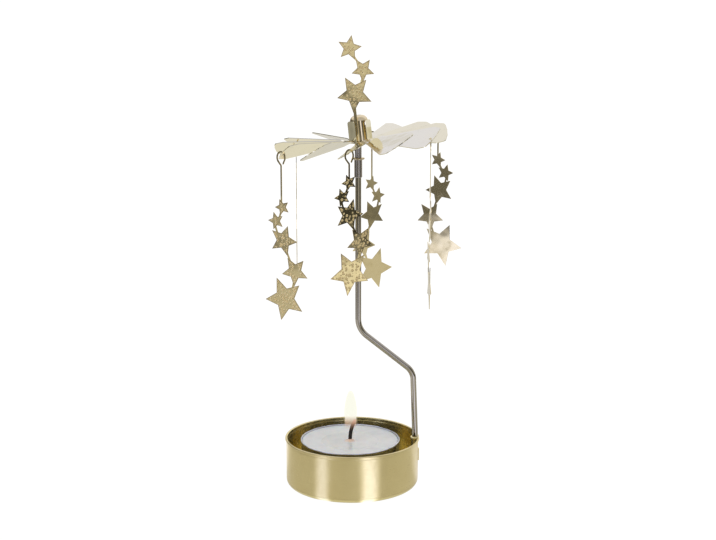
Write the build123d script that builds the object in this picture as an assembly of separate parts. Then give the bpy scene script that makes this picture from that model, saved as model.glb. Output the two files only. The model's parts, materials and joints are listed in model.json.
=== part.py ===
# Rotary candle holder: a tea light in a low round tin turns a winged rotor hung with star pendants.
# Millimetres, +Z up, origin at the middle of the tin's flat underside. The rod stands at the +X side.
from build123d import *
from math import cos, radians, sin, sqrt
import os

# Tin: a drawn cup with a curled rim
tin_radius = 25.6
tin_height = 18.7
tin_sheet = 0.4
tin_corner_radius = 2.5
rim_bead_radius = 0.45

# Groove pressed into the tin's wall for the rod, and the strap lanced over it
rod_diameter = 2.3
rod_clearance = 0.05
rod_inset = 0.05
groove_floor_height = 3.2
strap_bottom_height = 9.2
strap_width = 4.6
strap_slit = 0.35
strap_sheet = 0.45

# Tea light
tealight_radius = 19.0
tealight_height = 17.3
tealight_sheet = 0.3
tealight_offset = -0.8
tealight_rim_radius = 0.3
wax_depth_below_rim = 0.7
wick_radius = 0.65
wick_height_above_wax = 8.4
wick_straight_above_wax = 0.2
wick_bend_angle = 26.5
sustainer_radius = 6.5
sustainer_sheet = 0.25
sustainer_collar_height = 3.6
sustainer_collar_sheet = 0.3

# Rod: lower leg, diagonal and upper post, in the plane Y = 0
leg_straight_height = 20.6
leg_lean_radius = 60.0
low_bend_setback = 0.95
low_bend_height = 44.7
low_bend_radius = 6.5
high_bend_height = 61.5
high_bend_radius = 8.2
post_offset = 2.35

# Point sleeve, collar and needle on top of the post
sleeve_bottom_height = 120.2
sleeve_length = 6.8
sleeve_radius = 1.53
rod_depth_in_sleeve = 3.8
collar_radius = 2.45
collar_thickness = 0.6
barrel_radius = 1.3
needle_length = 15.8
needle_cone_length = 4.5
needle_tip_radius = 0.1

# Cap that rides on the needle's point
cap_radius = 3.4
cap_sheet = 0.3
cap_depth = 9.3
cap_corner_radius = 2.4
cap_dimple_radius = 0.6
cap_dimple_depth = 0.12
point_gap = 0.03

# Rotor: hub plate, twisted blades and tabs, leaning a little because it hangs on one point
rotor_lean = 6.4
rotor_lean_direction = 167.0
rotor_sheet = 0.3
blade_count = 12
first_blade_angle = -4.0
blade_pitch = 24.0
blade_tip_radius = 32.4
blade_shoulder_radius = 28.2
blade_shoulder_half_width = 7.5
blade_tip_half_width = 6.4
blade_root_radius = 8.6
blade_root_half_width = 2.1
blade_corner_radius = 1.0
hub_plate_radius = 5.2
hub_plate_hole_radius = 3.0
neck_half_width = 1.1
tab_count = 3
first_tab_angle = 215.0
tab_width = 4.6
tab_height = 7.5
tab_corner_radius = 0.9
tab_gap = 0.02
hole_radius = 0.62
hole_edge_distance = 1.25
hole_side_offset = -1.2

# Pendants: one flat sheet each, an open hook, a shank and a chain of stars
pendant_sheet = 0.25
pendant_turn = -54.0
hook_half_width = 1.65
hook_half_height = 2.15
hook_strip = 0.58
hook_grip_height = 1.5
hook_neck_side = 0.95
hook_open_side = 1.2
hook_neck_drop = 2.9
hook_open_drop = 2.2
short_shank_drop = 9.9
long_shank_drop = 18.4
star_point_count = 5
star_waist = 0.48
link_width = 0.7
link_reach = 0.45

# Stars of a pendant: centre from the shank's foot, radius, clockwise turn
long_stars = [
    ((0.3, 0.0), 3.2, 15.0),
    ((-2.4, -5.3), 3.45, 18.5),
    ((0.65, -12.5), 6.0, -17.0),
    ((5.5, -23.7), 5.8, 3.5),
    ((1.1, -34.5), 8.55, 11.5),
]
short_stars = [
    ((-0.1, 0.3), 3.2, 15.0),
    ((-2.85, -4.7), 3.45, 16.5),
    ((0.0, -11.3), 6.0, -18.0),
    ((4.6, -21.4), 5.8, 0.5),
    ((0.4, -32.4), 8.55, 8.4),
]
# A star's points are counted clockwise: 0 upper left, 1 upper right, 2 right, 3 bottom, 4 left
pendant_links = [(0, 3, 1, 1), (1, 3, 2, 0), (2, 3, 3, 0), (3, 3, 4, 1)]
pendant_layouts = ["short", "long", "short", "long", "short", "long"]
# How far each chain of stars is bent sideways from its shank
pendant_bends = [4.0, 4.0, 0.0, 0.0, 0.0, 0.0]

# Ornament on top: stars up from the foot of its stem
ornament_sheet = 0.2
ornament_angle = 252.0
ornament_gap = 0.02
ornament_foot_depth = 2.2
stem_width = 1.1
stem_tuck = 5.2
ornament_stars = [
    ((0.7, 10.5), 7.1, 10.3),
    ((4.9, 19.05), 4.65, 6.0),
    ((0.65, 27.4), 4.85, -20.2),
]
ornament_links = [(1, 3, 0, 1), (2, 3, 1, 0)]
stem_point = 3

# Places worked out from the sizes above
rod_radius = rod_diameter / 2
rod_x = tin_radius - rod_inset - rod_radius
channel_radius = rod_radius + rod_clearance
groove_radius = channel_radius + tin_sheet
strap_top_height = strap_bottom_height + strap_width
tealight_top = tin_sheet + tealight_height
wax_top = tealight_top - wax_depth_below_rim
cup_floor = tin_sheet + tealight_sheet
sleeve_top_height = sleeve_bottom_height + sleeve_length
collar_top_height = sleeve_top_height + collar_thickness
point_height = collar_top_height + needle_length
plate_middle = -cap_depth - rotor_sheet / 2
hole_distance = blade_tip_radius - hole_edge_distance


def turned(points):
    """A solid of revolution about Z from (radius, height) corners."""
    outline = Polyline([(radius, 0, height) for radius, height in points], close=True)
    return revolve(make_face(outline), Axis.Z)


def upright(radius, bottom, top, x=0.0):
    """A round bar along Z, given by its two end heights."""
    return Pos(x, 0, bottom) * Cylinder(radius, top - bottom, align=(Align.CENTER, Align.CENTER, Align.MIN))


def block(x_from, x_to, half_width, bottom, top):
    """A box centred on the plane Y = 0."""
    box = Box(x_to - x_from, 2 * half_width, top - bottom, align=(Align.MIN, Align.CENTER, Align.MIN))
    return Pos(x_from, 0, bottom) * box


def tin_shell():
    """The drawn cup with its rounded corner and the curled bead round its rim."""
    wall = Pos(tin_radius / 2, tin_height / 2) * Rectangle(tin_radius, tin_height)
    inside_width = tin_radius - tin_sheet
    inside = Pos(inside_width / 2, tin_sheet + tin_height / 2) * Rectangle(inside_width, tin_height)
    outer_corner = wall.vertices().group_by(Axis.Y)[0].group_by(Axis.X)[-1]
    inner_corner = inside.vertices().group_by(Axis.Y)[0].group_by(Axis.X)[-1]
    profile = fillet(outer_corner, tin_corner_radius)
    profile -= Pos(0, tin_height) * Rectangle(3 * tin_radius, 2 * rim_bead_radius)
    profile += Pos(tin_radius, tin_height - rim_bead_radius) * Circle(rim_bead_radius)
    profile -= fillet(inner_corner, tin_corner_radius - tin_sheet)
    return revolve(Plane.XZ * profile, Axis.Z)


def groove_shape(radius, bottom, top):
    """The U-shaped bar that follows the rod and opens outward, for the groove's outside or its channel."""
    outside = tin_radius + rod_diameter
    return upright(radius, bottom, top, rod_x) + block(rod_x, outside, radius, bottom, top)


def rim_loop():
    """The rim bead where it runs inward round the groove."""
    bead_height = tin_height - rim_bead_radius
    loop_radius = channel_radius + tin_sheet / 2
    ring = Pos(rod_x, 0, bead_height) * Torus(loop_radius, rim_bead_radius)
    reach = 2 * groove_radius
    half = ring & block(rod_x - reach, rod_x, reach, 0, 2 * tin_height)
    leg_length = tin_radius - rod_x
    leg = Rot(0, 90, 0) * Cylinder(rim_bead_radius, leg_length, align=(Align.CENTER, Align.CENTER, Align.MIN))
    legs = [Pos(rod_x, side * loop_radius, bead_height) * leg for side in (-1, 1)]
    return half + legs


def tin_base():
    below_strap = strap_bottom_height - strap_slit
    above_strap = strap_top_height + strap_slit
    ledge_bottom = groove_floor_height - tin_sheet
    body = tin_shell()
    inside_wall = upright(tin_radius, 0, tin_height)
    groove = groove_shape(groove_radius, ledge_bottom, below_strap)
    groove += groove_shape(groove_radius, above_strap, tin_height - rim_bead_radius)
    body += groove & inside_wall
    body += rim_loop()
    body -= groove_shape(channel_radius, groove_floor_height, strap_bottom_height)
    body -= groove_shape(channel_radius, strap_top_height, 2 * tin_height)
    body -= upright(channel_radius, strap_bottom_height, strap_top_height, rod_x)
    tube = upright(channel_radius + strap_sheet, strap_bottom_height, strap_top_height, rod_x)
    tube -= upright(channel_radius, strap_bottom_height, strap_top_height, rod_x)
    strap = tube - upright(tin_radius - tin_sheet, strap_bottom_height, strap_top_height)
    return body + strap


def tealight_cup():
    outer = upright(tealight_radius, tin_sheet, tealight_top)
    inner = upright(tealight_radius - tealight_sheet, cup_floor, 2 * tealight_top)
    rim = Pos(0, 0, tealight_top - tealight_rim_radius) * Torus(tealight_radius, tealight_rim_radius)
    return Pos(tealight_offset, 0, 0) * (outer - inner + (rim - inner))


def sustainer_shape():
    """Foot disc and upright collar of the wick, standing on the cup's floor."""
    disc = upright(sustainer_radius, cup_floor, cup_floor + sustainer_sheet)
    collar_outside = wick_radius + sustainer_collar_sheet
    collar = upright(collar_outside, cup_floor, cup_floor + sustainer_collar_height)
    return disc + collar


def wick_sustainer():
    bore = upright(wick_radius, cup_floor, 2 * tealight_top)
    return Pos(tealight_offset, 0, 0) * (sustainer_shape() - bore)


def wick():
    """Straight through the wax, then curling over toward the rod's side."""
    bend_bottom = wax_top + wick_straight_above_wax
    bend_rise = wick_height_above_wax - wick_straight_above_wax
    bend = radians(wick_bend_angle)
    bend_radius = bend_rise / sin(bend)
    start = (0, 0, cup_floor)
    bend_start = (0, 0, bend_bottom)
    tip = (bend_radius * (1 - cos(bend)), 0, bend_bottom + bend_rise)
    path = Line(start, bend_start) + TangentArc(bend_start, tip, tangent=(0, 0, 1))
    section = Plane(origin=start, z_dir=(0, 0, 1)) * Circle(wick_radius)
    return Pos(tealight_offset, 0, 0) * sweep(section, path=path)


def tealight_wax():
    fill = upright(tealight_radius - tealight_sheet, cup_floor, wax_top)
    fill -= upright(wick_radius, cup_floor, 2 * tealight_top)
    return Pos(tealight_offset, 0, 0) * (fill - sustainer_shape())


def stand_rod():
    corners = [
        (rod_x, 0, groove_floor_height),
        (rod_x, 0, leg_straight_height),
        (rod_x - low_bend_setback, 0, low_bend_height),
        (post_offset, 0, high_bend_height),
        (post_offset, 0, sleeve_bottom_height + rod_depth_in_sleeve),
    ]
    path = FilletPolyline(corners, radius=[leg_lean_radius, low_bend_radius, high_bend_radius])
    section = Plane(origin=corners[0], z_dir=(0, 0, 1)) * Circle(rod_radius)
    return sweep(section, path=path)


def point_sleeve():
    outer = upright(sleeve_radius, sleeve_bottom_height, sleeve_top_height, post_offset)
    return outer - upright(rod_radius, sleeve_bottom_height, sleeve_top_height, post_offset)


def sleeve_collar():
    outer = upright(collar_radius, sleeve_top_height, collar_top_height, post_offset)
    return outer - upright(rod_radius, sleeve_top_height, collar_top_height, post_offset)


def needle():
    """Shank in the sleeve, barrel above the collar, and the cone that carries the cap."""
    shank_bottom = sleeve_bottom_height + rod_depth_in_sleeve
    outline = [
        (0, shank_bottom),
        (rod_radius, shank_bottom),
        (rod_radius, collar_top_height),
        (barrel_radius, collar_top_height),
        (barrel_radius, point_height - needle_cone_length),
        (needle_tip_radius, point_height),
        (0, point_height),
    ]
    return Pos(post_offset, 0, 0) * turned(outline)


def rotor_place():
    """The rotor's own frame: origin at the needle's point, leaning toward one side."""
    lean = Rot(0, 0, rotor_lean_direction) * Rot(0, rotor_lean, 0) * Rot(0, 0, -rotor_lean_direction)
    return Pos(post_offset, 0, point_height) * lean


def hub_cap():
    """Thimble with a small dimple punched in its crown, where the needle's point sits."""
    crown_inside = point_gap - cap_dimple_depth
    outer_body = upright(cap_radius, -cap_depth, crown_inside + cap_sheet)
    outer = fillet(outer_body.edges().group_by(Axis.Z)[-1], cap_corner_radius)
    inner_body = upright(cap_radius - cap_sheet, -2 * cap_depth, crown_inside)
    inner = fillet(inner_body.edges().group_by(Axis.Z)[-1], cap_corner_radius - cap_sheet)
    dimple = Pos(0, 0, point_gap - cap_dimple_radius) * Sphere(cap_dimple_radius)
    return rotor_place() * (outer - inner - dimple)


def blade(with_hole):
    """One blade along +X in its own flat plane, wide at the shoulder and cut round at the tip."""
    tip_corner_x = sqrt(blade_tip_radius**2 - blade_tip_half_width**2)
    lower = [
        (blade_root_radius, -blade_root_half_width),
        (blade_shoulder_radius, -blade_shoulder_half_width),
        (tip_corner_x, -blade_tip_half_width),
    ]
    upper = [(x, -y) for x, y in reversed(lower)]
    tip = ThreePointArc(lower[-1], (blade_tip_radius, 0), upper[0])
    outline = Polyline(lower) + tip + Polyline(upper) + Line(upper[-1], lower[0])
    sheet = make_face(outline)
    rounded = sheet.vertices().filter_by(lambda corner: corner.X > blade_root_radius + rotor_sheet)
    sheet = fillet(rounded, blade_corner_radius)
    if with_hole:
        sheet -= Pos(hole_distance, hole_side_offset) * Circle(hole_radius)
    return extrude(sheet, amount=rotor_sheet / 2, both=True)


def blade_neck():
    """The twisted root that joins a pitched blade to the flat hub plate."""
    inner_radius = (hub_plate_radius + hub_plate_hole_radius) / 2
    flat = Plane(origin=(inner_radius, 0, 0), x_dir=(0, 1, 0), z_dir=(1, 0, 0))
    pitched = Rot(blade_pitch, 0, 0) * Plane(origin=(blade_root_radius, 0, 0), x_dir=(0, 1, 0), z_dir=(1, 0, 0))
    start = flat * Rectangle(2 * neck_half_width, rotor_sheet)
    end = pitched * Rectangle(2 * blade_root_half_width, rotor_sheet)
    return loft([start, end], ruled=True)


def gripping_tab():
    """A tab bent up from the hub plate against the cap, facing +X."""
    inner_face = cap_radius + tab_gap
    bottom = plate_middle - rotor_sheet / 2
    top = -cap_depth + tab_height
    tab = block(inner_face, inner_face + rotor_sheet, tab_width / 2, bottom, top)
    top_corners = tab.edges().filter_by(Axis.X).group_by(Axis.Z)[-1]
    return fillet(top_corners, tab_corner_radius)


def rotor_disc():
    plate_bottom = plate_middle - rotor_sheet / 2
    plate = upright(hub_plate_radius, plate_bottom, plate_bottom + rotor_sheet)
    body = plate - upright(hub_plate_hole_radius, plate_bottom, plate_bottom + rotor_sheet)
    for index in range(blade_count):
        place = Pos(0, 0, plate_middle) * Rot(0, 0, blade_angle(index))
        carries_pendant = index % 2 == 1
        body += place * (Rot(blade_pitch, 0, 0) * blade(carries_pendant) + blade_neck())
    for index in range(tab_count):
        body += Rot(0, 0, first_tab_angle + index * 360 / tab_count) * gripping_tab()
    body -= upright(hub_plate_hole_radius, plate_bottom - rotor_sheet, -cap_depth)
    return rotor_place() * body


def blade_angle(index):
    return first_blade_angle + index * 360 / blade_count


def star_place(star, step, reach):
    """A place in a star's plane: half-arm steps clockwise from its upper left point, and a reach."""
    (x, y), _, turn = star
    angle = radians(turn + (step - 1) * 180 / star_point_count)
    return (x + reach * sin(angle), y + reach * cos(angle))


def star_outline(star):
    """The corners of one star, points and waists in turn."""
    radius = star[1]
    reaches = [radius, radius * star_waist] * star_point_count
    return [star_place(star, step, reach) for step, reach in enumerate(reaches)]


def arm_place(star, point, share):
    """A place on a star's arm, at a share of the way from its centre to the given point."""
    return star_place(star, 2 * point, share * star[1])


def strip(start, end, width):
    """A straight strip with round ends."""
    ends = Pos(*start) * Circle(width / 2) + Pos(*end) * Circle(width / 2)
    return trace(Line(start, end), width) + ends


def star_chain(stars, links):
    """Stars joined point to point into one flat shape."""
    shape = Sketch()
    for star in stars:
        shape += make_face(Polyline(star_outline(star), close=True))
    for first, first_point, second, second_point in links:
        start = arm_place(stars[first], first_point, link_reach)
        end = arm_place(stars[second], second_point, link_reach)
        shape += strip(start, end, link_width)
    return shape


def hook_side(across):
    """Height on the hook's lower half at a distance from its centreline."""
    return -hook_half_height * sqrt(1 - (across / hook_half_width) ** 2)


def hook(shank_bottom):
    """The open hook, an oval strip about the origin, and the straight shank below it."""
    half = hook_strip / 2
    oval = Ellipse(hook_half_width + half, hook_half_height + half)
    oval -= Ellipse(hook_half_width - half, hook_half_height - half)
    neck_start = (-hook_neck_side, hook_side(hook_neck_side))
    open_start = (hook_open_side, hook_side(hook_open_side))
    below = -2 * hook_half_height
    gap = [(0, 0), open_start, (hook_half_width, below), (-hook_neck_side, below), neck_start]
    neck = (0, -hook_neck_drop)
    shape = oval - make_face(Polyline(gap, close=True))
    shape += strip(neck_start, neck, hook_strip)
    shape += strip(neck, (0, shank_bottom), hook_strip)
    shape += strip(open_start, (hook_open_side - half, -hook_open_drop), hook_strip)
    return shape


def turned_star(star, angle):
    """A star moved clockwise round the shank's foot."""
    (x, y), radius, turn = star
    swing = radians(angle)
    place = (x * cos(swing) + y * sin(swing), y * cos(swing) - x * sin(swing))
    return (place, radius, turn + angle)


def pendant_stars(layout, bend):
    stars = long_stars if layout == "long" else short_stars
    drop = long_shank_drop if layout == "long" else short_shank_drop
    bent = [turned_star(star, bend) for star in stars]
    return [((x, y - drop), radius, turn) for (x, y), radius, turn in bent]


def pendant_shape(index):
    """A pendant's flat sheet, its hook about the origin."""
    stars = pendant_stars(pendant_layouts[index], pendant_bends[index])
    (_, first_star_height), _, _ = stars[0]
    return hook(first_star_height) + star_chain(stars, pendant_links)


def hole_centre(index):
    """Centre of a pendant's hole in the part's frame."""
    blade_place = Pos(0, 0, plate_middle) * Rot(0, 0, pendant_blade_angle(index)) * Rot(blade_pitch, 0, 0)
    return (rotor_place() * blade_place * Pos(hole_distance, hole_side_offset, 0)).position


def pendant_blade_angle(index):
    """Every second blade carries a pendant."""
    return blade_angle(2 * index + 1)


def pendant_plane(index):
    """Upright plane of a pendant, origin at its hook's middle and facing the patterned side's way."""
    heading = radians(pendant_blade_angle(index) + pendant_turn)
    outward = Vector(cos(heading), sin(heading), 0)
    grip_reach = hook_half_width * sqrt(1 - (hook_grip_height / hook_half_height) ** 2)
    centre = hole_centre(index) + outward * grip_reach - Vector(0, 0, hook_grip_height)
    return Plane(origin=centre, x_dir=-outward, z_dir=Vector(-sin(heading), cos(heading), 0))


def pendant(index):
    return pendant_plane(index) * extrude(pendant_shape(index), amount=pendant_sheet / 2, both=True)


def top_star_ornament():
    """Three stars on a stem that is tucked between the cap and a tab."""
    shape = star_chain(ornament_stars, ornament_links)
    stem_top = arm_place(ornament_stars[0], stem_point, link_reach)
    shape += strip(stem_top, (0, 0), stem_width)
    shape += strip((0, 0), (0, -stem_tuck), stem_width)
    heading = radians(ornament_angle)
    facing = Vector(cos(heading), sin(heading), 0)
    inner_face = facing * (cap_radius + ornament_gap) + Vector(0, 0, -ornament_foot_depth)
    plane = Plane(origin=inner_face, x_dir=Vector(-sin(heading), cos(heading), 0), z_dir=facing)
    return rotor_place() * (plane * extrude(shape, amount=ornament_sheet))


nodes = {
    "tin_base": tin_base(),
    "tealight_cup": tealight_cup(),
    "tealight_wax": tealight_wax(),
    "wick": wick(),
    "wick_sustainer": wick_sustainer(),
    "stand_rod": stand_rod(),
    "point_sleeve": point_sleeve(),
    "sleeve_collar": sleeve_collar(),
    "needle": needle(),
    "hub_cap": hub_cap(),
    "rotor_disc": rotor_disc(),
    "top_star_ornament": top_star_ornament(),
}
for index in range(len(pendant_layouts)):
    nodes[f"pendant_{index + 1}"] = pendant(index)

os.makedirs("parts", exist_ok=True)
for name, shape in nodes.items():
    export_step(shape, f"parts/{name}.step")
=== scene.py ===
# %% [markdown]
# # A rotary candle holder with hanging stars
#
# Warm air from a tea light turns a winged rotor that balances on a needle. Six chains of stars hang from
# its blades and three more stars stand on top. The solids come in as a fixed frame, and this lesson dresses
# them: each cell makes one piece or one finish. Lengths are written in millimetres and turned into
# Blender's metres by `mm`.

# %% Load the frame
import json
from math import acos, cos, degrees, pi, radians, sin, sqrt

import bmesh
import bpy
from mathutils import Matrix, Vector


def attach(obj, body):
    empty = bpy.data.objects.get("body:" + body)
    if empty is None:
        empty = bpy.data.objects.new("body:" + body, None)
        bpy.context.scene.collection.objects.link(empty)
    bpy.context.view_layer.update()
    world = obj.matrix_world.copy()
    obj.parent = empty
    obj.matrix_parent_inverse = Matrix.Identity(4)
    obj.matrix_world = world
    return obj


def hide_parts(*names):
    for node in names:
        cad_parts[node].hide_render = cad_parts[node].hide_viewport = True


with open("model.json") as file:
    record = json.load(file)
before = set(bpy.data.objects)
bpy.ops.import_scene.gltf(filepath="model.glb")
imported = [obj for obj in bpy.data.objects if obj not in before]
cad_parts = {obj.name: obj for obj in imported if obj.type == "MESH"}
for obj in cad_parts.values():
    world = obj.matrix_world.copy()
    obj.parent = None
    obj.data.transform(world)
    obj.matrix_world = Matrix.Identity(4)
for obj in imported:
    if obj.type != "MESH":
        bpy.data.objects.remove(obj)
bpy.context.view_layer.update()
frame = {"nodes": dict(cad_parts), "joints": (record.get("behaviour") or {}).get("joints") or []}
nodes = frame["nodes"]
joints = {joint["name"]: joint for joint in frame["joints"]}
mm = 0.001

# %% [markdown]
# ## The camera
#
# The lens, height and tilt were solved from the photograph: the round rims show how far the camera looks
# down, and the near and far parts show how far away it stands. A 77.5 mm lens on a 36 mm sensor gives the
# same narrow view. The camera comes first, so that every later piece can be judged in the right frame.

# %% Camera
def new_object(name, data):
    made = bpy.data.objects.new(name, data)
    bpy.context.scene.collection.objects.link(made)
    return made


camera_tilt = 11.7
camera_data = bpy.data.cameras.new("photo_view")
camera_data.lens = 77.53
camera_data.sensor_width = 36.0
camera = new_object("photo_view", camera_data)
camera.location = Vector((2.26, -574.0, 203.5)) * mm
camera.rotation_euler = (radians(90 - camera_tilt), 0, 0)
bpy.context.scene.camera = camera
print("camera at", tuple(round(value, 3) for value in camera.location))

# %% [markdown]
# ## Node trees as Python expressions
#
# Materials and Geometry Nodes are both trees of nodes. Wiring them by hand takes many lines, so `Wire`
# wraps one output socket and overloads Python's operators: `1 - mask * 0.5` adds the Math nodes by itself.
# A loop gives it the four operators, each with its reflected form for a number on the left.


# %% Wires
class Wire:
    """One output socket of a tree."""

    def __init__(self, tree, socket):
        self.tree, self.socket = tree, socket

    def other(self, name):
        """Another output of the same node."""
        return Wire(self.tree, self.socket.node.outputs[name])


def math_operator(operation, reflected):
    def apply(wire, other):
        return wire.tree.math(operation, *((other, wire) if reflected else (wire, other)))

    return apply


operators = {"add": "ADD", "sub": "SUBTRACT", "mul": "MULTIPLY", "truediv": "DIVIDE"}
for word, operation in operators.items():
    setattr(Wire, f"__{word}__", math_operator(operation, False))
    setattr(Wire, f"__r{word}__", math_operator(operation, True))
print("wires know", ", ".join(operators))

# %% [markdown]
# `Tree.make` adds any other node. Settings come first, because some of them change a node's sockets. The
# methods after it are the few nodes that nearly every material and every form needs.


# %% Trees
class Tree:
    """Adds nodes to one node tree, for a material or for geometry."""

    def __init__(self, node_tree):
        self.node_tree = node_tree

    def plug(self, socket, value):
        if isinstance(value, Wire):
            self.node_tree.links.new(value.socket, socket)
        else:
            socket.default_value = value

    def make(self, kind, settings=None, inputs=None, output=0):
        node = self.node_tree.nodes.new(kind)
        for name, value in (settings or {}).items():
            setattr(node, name, value)
        for name, value in (inputs or {}).items():
            self.plug(node.inputs[name], value)
        return Wire(self, node.outputs[output])

    def math(self, operation, *values):
        return self.make("ShaderNodeMath", {"operation": operation}, dict(enumerate(values)))

    def clamp(self, value):
        return self.math("MINIMUM", self.math("MAXIMUM", value, 0.0), 1.0)

    def length(self, x, y):
        return self.math("SQRT", x * x + y * y)

    def apart(self, value, centre):
        """How far a value is from a centre, on either side."""
        return self.math("ABSOLUTE", value - centre)

    def ramp(self, value, start, end, kind="LINEAR"):
        """0 before start, 1 after end, straight between."""
        inputs = {"Value": value, "From Min": start, "From Max": end}
        return self.make("ShaderNodeMapRange", {"interpolation_type": kind}, inputs)

    def ease(self, value, start, end):
        """0 before start, 1 after end, smooth between."""
        return self.ramp(value, start, end, "SMOOTHSTEP")

    def band(self, value, centre, outer, inner):
        """1 nearer to a centre than inner, 0 farther than outer, smooth between."""
        return self.ease(self.apart(value, centre), outer, inner)

    def vector(self, x=0.0, y=0.0, z=0.0):
        return self.make("ShaderNodeCombineXYZ", inputs={"X": x, "Y": y, "Z": z})

    def split(self, vector):
        x = self.make("ShaderNodeSeparateXYZ", inputs={"Vector": vector}, output="X")
        return x, x.other("Y"), x.other("Z")

    def vector_math(self, operation, *values):
        return self.make("ShaderNodeVectorMath", {"operation": operation}, dict(enumerate(values)))

    def scaled(self, vector, factor):
        return self.make("ShaderNodeVectorMath", {"operation": "SCALE"}, {0: vector, "Scale": factor})


# %% [markdown]
# ## Finishes
#
# Every finish is procedural. It reads Object coordinates, turned into millimetres, so that a pattern keeps
# its real scale and stays on its piece when the piece moves.


# %% Finish: the common start of every material
class Finish(Tree):
    """A Principled material under construction."""

    def __init__(self, name):
        self.material = bpy.data.materials.new(name)
        self.material.use_nodes = True
        super().__init__(self.material.node_tree)
        found = {node.type: node for node in self.node_tree.nodes}
        self.shader, self.result = found["BSDF_PRINCIPLED"], found["OUTPUT_MATERIAL"]
        place = self.make("ShaderNodeTexCoord", output="Object")
        self.place = self.vector_math("MULTIPLY", place, (1000.0, 1000.0, 1000.0))

    def noise(self, scale, detail=2.0, stretch=None, roughness=0.5):
        place = self.vector_math("MULTIPLY", self.place, stretch) if stretch else self.place
        inputs = {"Vector": place, "Scale": scale, "Detail": detail, "Roughness": roughness}
        return self.make("ShaderNodeTexNoise", inputs=inputs)

    def attribute(self, name):
        return self.make("ShaderNodeAttribute", {"attribute_name": name}, output="Fac")

    def mix(self, factor, low, high):
        """A Mix node set to colours, which come in by its sockets 6 and 7 and leave by socket 2."""
        return self.make("ShaderNodeMix", {"data_type": "RGBA"}, {"Factor": factor, 6: low, 7: high}, 2)

    def bump(self, height, distance, strength=1.0, below=None):
        inputs = {"Height": height, "Distance": distance * mm, "Strength": strength}
        if below is not None:
            inputs["Normal"] = below
        return self.make("ShaderNodeBump", inputs=inputs)

    def set(self, **values):
        for name, value in values.items():
            socket = name.replace("_", " ").title().replace("Ior", "IOR")
            self.plug(self.shader.inputs[socket], value)
        print("finish", self.material.name, "has", len(self.node_tree.nodes), "nodes")
        return self.material

    def metal(self, color, roughness, relief, **more):
        return self.set(base_color=color, roughness=roughness, metallic=1.0, normal=relief, **more)


def rgb(red, green, blue):
    return (red, green, blue, 1.0)


def darker(tint, share):
    return rgb(*(part * share for part in tint))


# %% [markdown]
# ### Satin gold of the tin
#
# The tin is drawn from thin sheet with a satin gold coat. Drawing leaves a fine grain round the wall, which
# pulls every highlight into a tall soft band, so the shader is anisotropic. Two fine lines show where the
# punch let go, one low on the wall and one below the rim. The coat is a little uneven from handling. The
# inside was never handled, so it is smoother. Its colour is painted lighter, as painted bounce light: light
# that bounces from wall to wall takes up the gold several times.

# %% Satin gold
wall_middle = 25.4
punch_lines = [(2.1, 0.16), (17.35, 0.14)]


def satin_gold():
    finish = Finish("satin_gold")
    x, y, z = finish.split(finish.place)
    clouds = finish.noise(0.09, 4.0)
    handling = finish.noise(0.6, 5.0, roughness=0.65)
    grain = finish.noise(1.0, 3.0, (0.12, 0.12, 9.0))
    radius = finish.length(x, y)
    inside = finish.ease(radius, wall_middle + 0.02, wall_middle - 0.1) * finish.ease(z, 0.3, 0.5)
    outside = 1.0 - finish.ease(radius, wall_middle - 0.1, wall_middle - 0.4)
    color = finish.mix(finish.ease(clouds, 0.35, 0.65), rgb(0.84, 0.7, 0.33), rgb(0.88, 0.74, 0.36))
    color = finish.mix(finish.ease(grain, 0.3, 0.7) * 0.3, color, rgb(0.78, 0.64, 0.29))
    # Painted bounce light: the inside of the tin is painted a lighter gold than the outside.
    color = finish.mix(inside, color, rgb(1.0, 0.87, 0.42))
    specks = finish.ease(finish.noise(2.4, 2.0), 0.7, 0.78)
    color = finish.mix(specks * 0.3, color, rgb(0.55, 0.42, 0.14))
    rough = 0.24 + grain * 0.1 + finish.ease(handling, 0.45, 0.7) * 0.08 - inside * 0.07
    low_line, high_line = (finish.band(z, height, width, 0.0) for height, width in punch_lines)
    relief = finish.bump(grain, 0.004)
    relief = finish.bump(1.0 - (low_line + high_line) * outside, 0.05, below=relief)
    relief = finish.bump(finish.noise(0.16, 1.0), 0.12, 0.5, relief)
    return finish.metal(color, rough, relief, anisotropic=0.8, anisotropic_rotation=0.25)


tin_finish = satin_gold()

# %% [markdown]
# ### Mirror gold sheet
#
# The rotor and its cap are pressed from thin polished sheet. It is nearly a mirror. What makes it look like
# thin metal and not like plastic is that it is never quite flat: long shallow waves bend the reflections.
# Fine hairlines and faint finger smears break the shine.


# %% Mirror gold
def mirror_gold(name, wave, tint):
    finish = Finish(name)
    smears = finish.ease(finish.noise(0.22, 4.0, roughness=0.6), 0.5, 0.75)
    hairs = finish.ease(finish.noise(1.0, 3.0, (0.4, 6.0, 1.5)), 0.62, 0.72)
    dust = finish.ease(finish.noise(5.0, 1.0), 0.76, 0.8)
    color = finish.mix(smears * 0.5, rgb(*tint), darker(tint, 0.86))
    color = finish.mix(dust * 0.5, color, rgb(0.5, 0.38, 0.16))
    rough = 0.075 + smears * 0.09 + hairs * 0.02
    relief = finish.bump(finish.noise(0.11, 2.0), wave)
    relief = finish.bump(hairs, 0.002, 0.3, relief)
    return finish.metal(color, rough, relief)


sheet_finish = mirror_gold("mirror_gold_sheet", 0.22, (0.88, 0.81, 0.55))
cap_finish = mirror_gold("mirror_gold_cap", 0.05, (0.86, 0.71, 0.4))

# %% [markdown]
# ### Etched stars
#
# The stars are etched from gold sheet. Their backs are left as bright mirrors. On their fronts the acid has
# left small matte cells in the mirror, inside a darker border that follows each star's outline. Matte gold
# takes light from all sides, so the cells look light where the mirror shows something dark, and dull where
# it shows a lamp. The mesh brings what the pattern needs: `edge` is 0 on a star's outline and 1 at its
# centre, `reach` is the star's radius in millimetres, and `front` marks the patterned side. Edge times
# reach gives the distance from the outline.


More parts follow.
